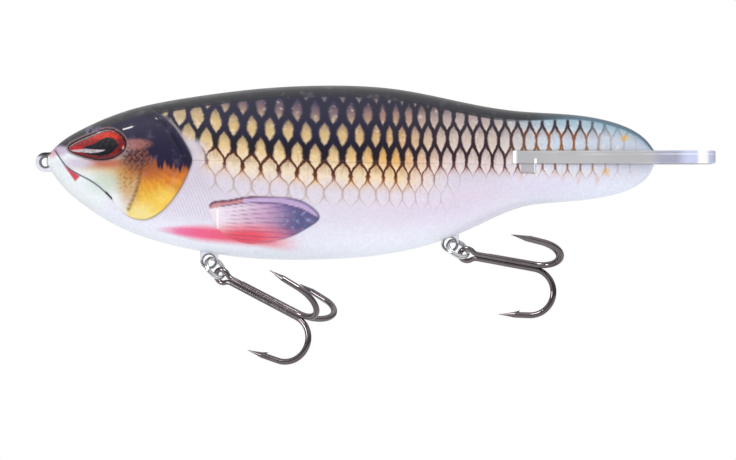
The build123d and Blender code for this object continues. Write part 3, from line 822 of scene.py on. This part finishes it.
def make_hook(node, body, slope, turn):
    """The CAD hook's wire, stouter past its eye as forged hooks are, with a raised barb on each point."""
    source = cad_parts[node].data
    verts = np.array([v.co for v in source.vertices]) / MM
    normals = np.array([v.normal for v in source.vertices])
    slope, turn = math.radians(slope), math.radians(turn)
    flat = math.cos(turn)
    shank = np.array([math.cos(slope) * flat, -math.sin(turn), math.sin(slope) * flat])
    pair = np.array([v.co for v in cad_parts[body + "_pair"].data.vertices]) / MM
    along = pair @ shank
    eye = pair[along < along.min() + 3.9].mean(axis=0)
    reach = (verts - eye) @ shank
    off_axis = np.linalg.norm(verts - eye - reach[:, None] * shank, axis=1)
    grown = verts + normals * (STOUT * smooth(3.5, 8, reach))[:, None]

    faces = [tuple(f.vertices) for f in source.polygons]
    arm = off_axis > 6
    tips = []
    while arm.any():
        index = np.where(arm)[0][np.argmin(reach[arm])]
        tip = verts[index]
        tips.append(tip)
        side = (verts - eye - reach[:, None] * shank) @ (tip - eye - ((tip - eye) @ shank) * shank)
        arm = arm & (side < 0)
    extra = []
    count = len(verts)
    for tip in tips:
        gap = np.linalg.norm(verts - tip, axis=1)
        back = verts[(gap > 2.5) & (gap < 4.5)].mean(axis=0) - tip
        back /= np.linalg.norm(back)
        foot = eye + ((tip - eye) @ shank) * shank
        inner = foot - tip
        inner = inner - (inner @ back) * back
        inner /= np.linalg.norm(inner)
        points, sides = barb(tip, back, inner)
        faces += [tuple(count + len(extra) + k for k in side) for side in sides]
        extra += points
    # The taper keeps its sharp point, so the wire only thickens behind it.
    for tip in tips:
        keep = smooth(1.0, 6.0, np.linalg.norm(verts - tip, axis=1))[:, None]
        grown = verts + (grown - verts) * keep
    return new_piece(node + "_forged", np.vstack([grown, extra]), faces, body, (node,))


# Materials

class Shader:
    """Short calls for building one material's nodes."""

    def __init__(self, name):
        self.material = bpy.data.materials.new(name)
        self.material.use_nodes = True
        self.tree = self.material.node_tree
        self.surface = self.tree.nodes["Principled BSDF"]

    def node(self, kind, **settings):
        made = self.tree.nodes.new(kind)
        for key, value in settings.items():
            setattr(made, key, value)
        return made

    def link(self, source, target):
        if isinstance(source, (int, float, tuple)):
            target.default_value = source
        else:
            self.tree.links.new(source, target)

    def math(self, operation, a, b=0.0, clamp=False):
        made = self.node("ShaderNodeMath", operation=operation, use_clamp=clamp)
        self.link(a, made.inputs[0])
        self.link(b, made.inputs[1])
        return made.outputs[0]

    def plus(self, a, b):
        return self.math("ADD", a, b)

    def minus(self, a, b):
        return self.math("SUBTRACT", a, b)

    def times(self, a, b):
        return self.math("MULTIPLY", a, b)

    def vary(self, scale, detail, spread):
        """Noise about zero, up to half the spread either way."""
        return self.times(self.minus(self.noise(scale, detail), 0.5), spread)

    def mix(self, factor, a, b, blend="MIX"):
        made = self.node("ShaderNodeMix", data_type="RGBA", blend_type=blend)
        self.link(factor, made.inputs[0])
        self.link(a, made.inputs[6])
        self.link(b, made.inputs[7])
        return made.outputs[2]

    def step(self, value, low, high, start=0.0, end=1.0):
        made = self.node("ShaderNodeMapRange", interpolation_type="SMOOTHSTEP")
        for index, item in enumerate((value, low, high, start, end)):
            self.link(item, made.inputs[index])
        return made.outputs[0]

    def attribute(self, name):
        return self.node("ShaderNodeAttribute", attribute_name=name)

    def noise(self, scale, detail=3.0, stretch=(1, 1, 1)):
        coordinates = self.node("ShaderNodeTexCoord").outputs["Object"]
        mapping = self.node("ShaderNodeMapping")
        self.link(coordinates, mapping.inputs["Vector"])
        mapping.inputs["Scale"].default_value = stretch
        made = self.node("ShaderNodeTexNoise")
        self.link(mapping.outputs[0], made.inputs["Vector"])
        made.inputs["Scale"].default_value = scale
        made.inputs["Detail"].default_value = detail
        return made.outputs[0]

    def bump(self, height, distance, strength=1.0):
        made = self.node("ShaderNodeBump")
        made.inputs["Distance"].default_value = distance
        made.inputs["Strength"].default_value = strength
        self.link(height, made.inputs["Height"])
        self.link(made.outputs[0], self.surface.inputs["Normal"])

    def put(self, name, value):
        """Sets one input of the surface, from a constant or from another node's output."""
        self.link(value, self.surface.inputs[name])


def skin_material():
    s = Shader("printed_fish_skin")
    cell = s.node("ShaderNodeSeparateXYZ")
    s.link(s.attribute("scale_grid").outputs["Vector"], cell.inputs[0])
    column, row, half = cell.outputs[0], cell.outputs[1], cell.outputs[2]
    strength = s.attribute("scale_amount").outputs["Fac"]
    column = s.plus(column, s.vary(380.0, 2.0, 0.22))
    offset = s.math("ABSOLUTE", s.minus(column, s.math("ROUND", column)))
    wave = s.math("COSINE", s.times(row, math.pi))
    cubed = s.times(s.math("POWER", wave, 3.0), 0.3)
    wave = s.minus(s.times(wave, 1.3), cubed)
    width = s.times(s.plus(wave, 1.0), 0.25)
    reach = s.minus(offset, width)
    gap = s.math("ABSOLUTE", reach)
    gap = s.plus(gap, s.vary(1400.0, 3.0, 0.11))
    even = s.minus(row, s.times(s.math("ROUND", s.times(row, 0.5)), 2.0))
    shifted = s.minus(row, 1.0)
    odd = s.minus(shifted, s.times(s.math("ROUND", s.times(shifted, 0.5)), 2.0))
    is_odd = s.math("GREATER_THAN", reach, 0.0)
    down = s.plus(s.times(even, s.minus(1.0, is_odd)), s.times(odd, is_odd))

    edge = s.attribute("edge_tone").outputs["Color"]
    spot = s.attribute("spot_tone").outputs["Color"]
    fibre = s.noise(1500.0, 4.0, (1.0, 1.0, 0.3))
    spot = s.mix(s.step(down, 0.15, 0.75, 0.0, 0.5), spot, (0.93, 0.82, 0.66, 1))
    shade = s.times(s.step(down, -0.85, 0.1, 1.0, 0.0), s.step(fibre, 0.3, 0.65, 0.45, 1.0))
    spot = s.mix(s.times(shade, 0.75), spot, edge)
    spot = s.mix(s.step(fibre, 0.5, 0.78, 0.0, 0.3), spot, (0.3, 0.17, 0.09, 1))
    spot = s.mix(s.step(s.noise(700.0, 2.0), 0.55, 0.75, 0.0, 0.35), spot, (0.95, 0.88, 0.76, 1))
    outline = s.step(gap, s.times(half, 0.62), s.plus(s.times(half, 1.25), 0.03), 1.0, 0.0)
    core = s.step(gap, s.times(half, 0.25), s.times(half, 0.95), 0.75, 0.0)
    edge = s.mix(core, edge, s.mix(1.0, edge, (0.22, 0.2, 0.3, 1), "MULTIPLY"))
    scales = s.mix(outline, spot, edge)

    base = s.attribute("base_tone").outputs["Color"]
    place = s.node("ShaderNodeSeparateXYZ")
    s.link(s.node("ShaderNodeTexCoord").outputs["Object"], place.inputs[0])
    slope = s.plus(s.times(place.outputs[0], 7200.0), s.times(place.outputs[2], 2700.0))
    slope = s.plus(slope, s.times(s.noise(120.0, 2.0), 6.0))
    lines = s.step(s.math("SINE", slope), 0.55, 0.98, 0.0, 0.34)
    base = s.mix(s.times(lines, s.attribute("hatch_amount").outputs["Fac"]), base, (0.3, 0.27, 0.4, 1))
    base = s.mix(s.step(s.noise(260.0, 3.0), 0.55, 0.8, 0.0, 0.12), base, (0.75, 0.6, 0.78, 1))
    color = s.mix(strength, base, scales)
    color = s.mix(1.0, color, s.step(s.noise(1300.0, 4.0), 0.3, 0.8, 0.93, 1.02), "MULTIPLY")
    s.put("Base Color", color)
    s.put("Roughness", s.step(s.noise(240.0, 3.0), 0.3, 0.7, 0.34, 0.46))
    s.put("Coat Weight", 0.6)
    s.put("Coat Roughness", 0.05)
    s.put("Specular IOR Level", 0.25)
    relief_height = s.plus(s.times(gap, strength), s.times(s.noise(160.0, 2.0), 0.04))
    s.bump(relief_height, 0.0003, 0.3)
    return s.material


def metal_material(name, tone, dark, low, high, scale):
    """Polished wire: tone drifts to a darker one, with fine scuffs in the roughness."""
    s = Shader(name)
    drift = s.step(s.noise(scale, 4.0), 0.35, 0.7)
    s.put("Base Color", s.mix(drift, tone, dark))
    s.put("Roughness", s.step(s.noise(scale * 6, 5.0), 0.3, 0.75, low, high))
    s.put("Metallic", 1.0)
    s.bump(s.noise(scale * 5, 2.0), 0.00001, 0.03)
    return s.material


def foil_material():
    s = Shader("holographic_red_foil")
    glint = s.step(s.noise(2600.0, 2.0), 0.45, 0.7, 0.85, 1.5)
    color = s.mix(1.0, s.attribute("foil_tone").outputs["Color"], glint, "MULTIPLY")
    s.put("Base Color", color)
    s.put("Metallic", 0.45)
    s.put("Specular IOR Level", 0.2)
    s.put("Roughness", s.step(s.noise(900.0, 3.0), 0.3, 0.7, 0.22, 0.4))
    s.bump(s.noise(1800.0, 2.0), 0.0001, 0.25)
    return s.material


def clear_material(name, tint, roughness, transmission, haze, index):
    s = Shader(name)
    cloud = s.step(s.noise(120.0, 3.0), 0.3, 0.75)
    s.put("Base Color", s.mix(cloud, tint, tuple(0.94 * c for c in tint[:3]) + (1,)))
    s.put("Transmission Weight", transmission)
    s.put("Roughness", s.step(s.noise(500.0, 3.0), 0.3, 0.8, roughness, roughness + haze))
    s.put("IOR", index)
    s.bump(s.noise(90.0, 2.0), 0.0001, 0.1)
    return s.material


def lip_material():
    """Clear plate: greyer in its slot; a painted reflection pales it towards its free end, and painted
    highlights whiten its cut edges, a band near its end and a streak along it.
    """
    s = Shader("clear_lip_plastic")
    place = s.node("ShaderNodeSeparateXYZ")
    s.link(s.node("ShaderNodeTexCoord").outputs["Object"], place.inputs[0])
    x, z = place.outputs[0], place.outputs[2]
    free = s.step(x, 0.1670, 0.1700)
    # Painted reflection: the rounded free end is paled towards blue-white.
    tip = s.step(x, 0.1735, 0.1775)
    # Painted highlights: a white band near the end, the front cut edge, the locking tab's edge and a
    # broken streak along the plate.
    painted_end_highlight = s.times(s.step(x, 0.1795, 0.1806), s.step(x, 0.1822, 0.1834, 1.0, 0.0))
    front = s.step(x, 0.1299, 0.1306, 1.0, 0.0)
    tab = s.times(s.step(x, 0.1350, 0.1352), s.step(x, 0.1357, 0.1359, 1.0, 0.0))
    tab = s.times(tab, s.step(z, 0.0008, 0.0011, 1.0, 0.0))
    streak = s.math("ABSOLUTE", s.minus(z, 0.0021))
    streak = s.times(s.step(streak, 0.00006, 0.0002, 1.0, 0.0), s.step(x, 0.146, 0.152))
    streak = s.times(streak, s.step(s.noise(60.0, 2.0), 0.4, 0.55, 0.3, 1.0))
    color = s.mix(s.step(s.noise(90.0, 3.0), 0.35, 0.7), (0.74, 0.74, 0.77, 1), (0.82, 0.81, 0.83, 1))
    color = s.mix(free, color, (0.62, 0.64, 0.80, 1))
    color = s.mix(tip, color, (0.70, 0.75, 1.0, 1))
    # All the painted highlights are laid in white, and they let less light through.
    painted_highlights = s.math("MAXIMUM", s.math("MAXIMUM", front, tab), painted_end_highlight)
    painted_highlights = s.math("MAXIMUM", painted_highlights, s.times(streak, 0.6))
    color = s.mix(painted_highlights, color, (1.0, 1.0, 1.0, 1))
    s.put("Base Color", color)
    clear = s.minus(s.minus(0.5, s.times(tip, 0.3)), s.times(painted_highlights, 0.5))
    s.put("Transmission Weight", s.math("MAXIMUM", clear, 0.0))
    s.put("Roughness", s.step(s.noise(500.0, 3.0), 0.3, 0.8, 0.1, 0.25))
    s.put("IOR", 1.49)
    s.put("Coat Weight", 0.5)
    s.put("Coat Roughness", 0.02)
    s.bump(s.noise(90.0, 2.0), 0.0001, 0.1)
    return s.material


def give(piece, material):
    piece.data.materials.clear()
    piece.data.materials.append(material)


# Build

SKIN = skin_material()
# Name, tone, darker tone, smoothest and roughest finish, and scale of the drift.
STEEL, BUSH, NICKEL, WEIGHT = (metal_material(*values) for values in (
    ("polished_steel_wire", (0.72, 0.72, 0.74, 1), (0.5, 0.5, 0.52, 1), 0.1, 0.22, 300.0),
    ("bush_steel", (0.5, 0.5, 0.52, 1), (0.36, 0.36, 0.38, 1), 0.2, 0.36, 400.0),
    ("black_nickel_wire", (0.19, 0.165, 0.175, 1), (0.13, 0.11, 0.12, 1), 0.1, 0.17, 60.0),
    ("cast_weight", (0.3, 0.3, 0.31, 1), (0.2, 0.2, 0.21, 1), 0.4, 0.6, 150.0),
))
FOIL = foil_material()
LENS = clear_material("clear_eye_resin", (1, 1, 1, 1), 0.0, 1.0, 0.02, 1.3)
CLEAR = lip_material()

upper = shell_mesh("upper_shell_skin", True, 80, "upper_shell")
lower = shell_mesh("lower_shell_skin", False, 85, "lower_shell")
PEARL = rgb(226, 228, 240)
DARK = rgb(24, 20, 36)
NECK = 3.2
lugs = [lug_mesh("nose_lug", 0, 0, 2.7, 1.66, 3.0, (1.0, 0.0), NECK, DARK, PEARL)]
for node in ("front_hanger_bush", "rear_hanger_bush"):
    low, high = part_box(node)
    centre = (low + high) / 2 / MM
    lugs.append(lug_mesh(
        node.replace("bush", "lug"), centre.x, centre.z, 2.45, 1.96, 1.7, (0.0, 1.0), NECK, PEARL, PEARL,
    ))
for piece in [upper, lower] + lugs:
    give(piece, SKIN)
for name, side in (("left", -1), ("right", 1)):
    foil, lens = make_eye(name, side)
    give(foil, FOIL)
    give(lens, LENS)
give(make_lip(), CLEAR)
hooks = []
for body, (slope, turn) in SHANKS.items():
    for node in (body + "_pair", body + "_third"):
        hooks.append(make_hook(node, body, slope, turn))
        give(hooks[-1], NICKEL)
for node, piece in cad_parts.items():
    if "treble" in node:
        give(piece, NICKEL)
    elif "ring" in node:
        give(piece, STEEL)
    elif "bush" in node:
        give(piece, BUSH)
    elif "ballast" in node:
        give(piece, WEIGHT)


# Studio

def area_light(name, place, target, size, power, reflected):
    data = bpy.data.lights.new(name, "AREA")
    data.shape = "DISK"
    data.size = size
    data.energy = power
    light = bpy.data.objects.new(name, data)
    light.location = place
    light.rotation_euler = (Vector(target) - Vector(place)).to_track_quat("-Z", "Y").to_euler()
    light.visible_glossy = reflected
    bpy.context.scene.collection.objects.link(light)
    return light


def make_world():
    """Even white surroundings to look at, dimmer ones to light and be reflected."""
    world = bpy.data.worlds.new("studio")
    world.use_nodes = True
    tree = world.node_tree
    tree.nodes["Background"].inputs[0].default_value = (1, 1, 1, 1)
    direction = tree.nodes.new("ShaderNodeSeparateXYZ")
    tree.links.new(tree.nodes.new("ShaderNodeTexCoord").outputs["Generated"], direction.inputs[0])
    sky = tree.nodes.new("ShaderNodeMapRange")
    sky.interpolation_type = "SMOOTHSTEP"
    tree.links.new(direction.outputs[2], sky.inputs[0])
    for index, value in enumerate((0.1, 0.75, 0.28, 0.95), start=1):
        sky.inputs[index].default_value = value
    seen = tree.nodes.new("ShaderNodeLightPath").outputs["Is Camera Ray"]
    strength = tree.nodes.new("ShaderNodeMapRange")
    tree.links.new(seen, strength.inputs[0])
    tree.links.new(sky.outputs[0], strength.inputs[3])
    strength.inputs[4].default_value = 1.0
    tree.links.new(strength.outputs[0], tree.nodes["Background"].inputs[1])
    bpy.context.scene.world = world


def make_studio():
    centre = (0.0893, 0, -0.0188)
    bpy.context.scene.view_settings.view_transform = "Standard"
    make_world()
    area_light("key", (-0.05, -1.0, 0.35), centre, 0.6, 2.7, False)
    area_light("fill", (0.3, -1.0, 0.05), centre, 0.6, 1.6, False)
    area_light("sparkle", (-0.5, -0.7, 0.95), centre, 0.08, 0.5, True)
    metal = bpy.data.collections.new("metal")
    for piece in hooks + [piece for node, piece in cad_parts.items() if "ring" in node]:
        metal.objects.link(piece)
    for name, place in (("metal_top", (0.0, -0.5, 0.55)), ("metal_side", (-0.7, -0.55, 0.05))):
        area_light(name, place, centre, 0.3, 3.2, True).light_linking.receiver_collection = metal
    area_light("back", (0.1, 0.9, 0.5), centre, 0.6, 2.5, False)

    mesh = bpy.data.meshes.new("floor")
    reach, drop = 1.5, -0.25
    corners = [(reach * a, reach * b, drop) for a, b in ((-1, -1), (1, -1), (1, 1), (-1, 1))]
    mesh.from_pydata(corners, [], [(0, 1, 2, 3)])
    floor = bpy.data.objects.new("floor", mesh)
    bpy.context.scene.collection.objects.link(floor)
    s = Shader("pale_floor")
    s.put("Base Color", s.mix(s.noise(8.0), (0.86, 0.86, 0.86, 1), (0.88, 0.88, 0.88, 1)))
    s.put("Roughness", 0.8)
    mesh.materials.append(s.material)

    data = bpy.data.cameras.new("camera")
    view_width, stand = 0.2039, 1.3
    data.sensor_width = 36
    data.lens = data.sensor_width * stand / view_width
    camera = bpy.data.objects.new("camera", data)
    camera.location = (centre[0], -stand, centre[2])
    camera.rotation_euler = (math.radians(90), 0, 0)
    bpy.context.scene.collection.objects.link(camera)
    bpy.context.scene.camera = camera


make_studio()
